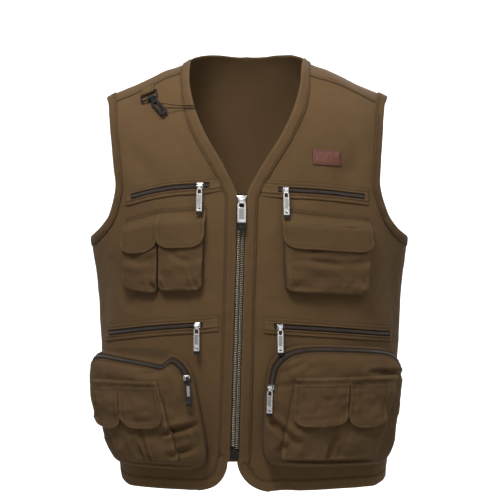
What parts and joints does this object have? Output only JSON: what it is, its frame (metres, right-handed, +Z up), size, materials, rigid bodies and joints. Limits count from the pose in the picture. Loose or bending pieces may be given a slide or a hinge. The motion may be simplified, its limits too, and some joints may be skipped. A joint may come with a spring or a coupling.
{
  "type": "outdoor vest",
  "caption": "Sleeveless V-neck canvas utility vest with a front zip, zipped chest and waist pockets, flapped bellows pockets and bulging zipped cargo bags at the hem.",
  "frame": {"origin": "the middle of the neck opening, at the height at which the shoulders carry the vest", "axes": "+Z up, -Y towards the front, +X towards the wearer's left"},
  "size_m": [0.4954, 0.2617, 0.6715],
  "materials": {
    "cloth": "olive-brown cotton canvas, matt",
    "tape": "dark brown zip tape and cord",
    "teeth": "antique brass teeth",
    "metal": "bright nickel plate",
    "plastic": "black moulded plastic",
    "leather": "reddish brown leather"
  },
  "bodies": {
    "vest": {"back_panel": "cloth", "front_slider": "metal", "front_zip_box": "plastic", "front_zip_left_half": "teeth", "front_zip_right_half": "teeth", "hook_cord": "tape", "leather_patch": "leather", "left_armhole_band": "cloth", "left_cargo_bag": "cloth", "left_cargo_inner_flap": "cloth", "left_cargo_outer_flap": "cloth", "left_cargo_patch_pocket": "cloth", "left_cargo_slider": "metal", "left_cargo_zip": "tape", "left_chest_flap": "cloth", "left_chest_pocket": "cloth", "left_chest_slider": "metal", "left_chest_welt": "cloth", "left_chest_zip": "tape", "left_front_panel": "cloth", "left_waist_slider": "metal", "left_waist_welt": "cloth", "left_waist_zip": "tape", "neck_band": "cloth", "right_armhole_band": "cloth", "right_cargo_bag": "cloth", "right_cargo_inner_flap": "cloth", "right_cargo_outer_flap": "cloth", "right_cargo_patch_pocket": "cloth", "right_cargo_slider": "metal", "right_cargo_zip": "tape", "right_chest_inner_flap": "cloth", "right_chest_inner_pocket": "cloth", "right_chest_outer_flap": "cloth", "right_chest_outer_pocket": "cloth", "right_chest_slider": "metal", "right_chest_welt": "cloth", "right_chest_zip": "tape", "right_front_panel": "cloth", "right_waist_slider": "metal", "right_waist_welt": "cloth", "right_waist_zip": "tape", "shoulder_hook": "plastic", "shoulder_ring": "plastic", "shoulder_tab": "cloth"},
    "right_chest_pull": {"right_chest_pull": "metal"},
    "left_chest_pull": {"left_chest_pull": "metal"},
    "right_waist_pull": {"right_waist_pull": "metal"},
    "left_waist_pull": {"left_waist_pull": "metal"},
    "front_pull": {"front_pull": "metal"},
    "right_cargo_pull": {"right_cargo_pull": "metal"},
    "left_cargo_pull": {"left_cargo_pull": "metal"}
  },
  "joints": [
    {"name": "right_chest_pull_swing", "type": "hinge", "parent": "vest", "child": "right_chest_pull", "pos_m": [-0.07025, -0.1286, -0.17779], "axis": [-0.9879, 0.1548, 0], "range_deg": [0, 165]},
    {"name": "left_chest_pull_swing", "type": "hinge", "parent": "vest", "child": "left_chest_pull", "pos_m": [0.05829, -0.13068, -0.18359], "axis": [-0.9924, -0.1227, 0], "range_deg": [0, 165]},
    {"name": "right_waist_pull_swing", "type": "hinge", "parent": "vest", "child": "right_waist_pull", "pos_m": [-0.0748, -0.12359, -0.38536], "axis": [-0.9836, 0.1802, 0], "range_deg": [0, 165]},
    {"name": "left_waist_pull_swing", "type": "hinge", "parent": "vest", "child": "left_waist_pull", "pos_m": [0.04985, -0.12813, -0.38723], "axis": [-0.9948, -0.1022, 0], "range_deg": [0, 165]},
    {"name": "front_pull_swing", "type": "hinge", "parent": "vest", "child": "front_pull", "pos_m": [-0.00763, -0.13437, -0.1982], "axis": [-0.9998, 0.0198, 0], "range_deg": [0, 165]},
    {"name": "right_cargo_pull_swing", "type": "hinge", "parent": "vest", "child": "right_cargo_pull", "pos_m": [-0.08831, -0.12525, -0.46227], "axis": [-0.9393, -0.3432, 0], "range_deg": [0, 165]},
    {"name": "left_cargo_pull_swing", "type": "hinge", "parent": "vest", "child": "left_cargo_pull", "pos_m": [0.03437, -0.13709, -0.4763], "axis": [-0.9412, 0.338, 0], "range_deg": [0, 165]}
  ]
}
